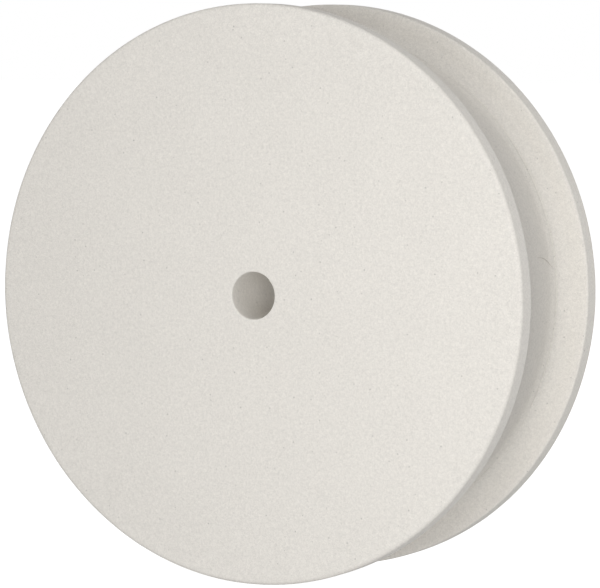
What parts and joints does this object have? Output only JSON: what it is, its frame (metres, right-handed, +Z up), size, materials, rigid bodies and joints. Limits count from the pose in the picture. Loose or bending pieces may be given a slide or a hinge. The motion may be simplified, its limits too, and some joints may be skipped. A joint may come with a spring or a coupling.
{
  "type": "felt polishing wheel",
  "caption": "Thick off-white hard felt polishing wheel with a plain centre bore and a wide square channel round its rim, for buffing stones on a spindle.",
  "frame": {"origin": "centre of the wheel, on the bore's axis and half way through its thickness", "axes": "+Y along the bore, from the front face to the rear face, and the axis that the wheel spins about; +Z up; +X to the right seen from the front"},
  "size_m": [0.1524, 0.0508, 0.1524],
  "materials": {
    "hard_felt": "dense pressed off-white wool felt, dry and matte, with a fine fuzzy grain"
  },
  "bodies": {
    "root": {"front_flange_disc": "hard_felt", "core_disc": "hard_felt", "rear_flange_disc": "hard_felt"}
  },
  "joints": []
}
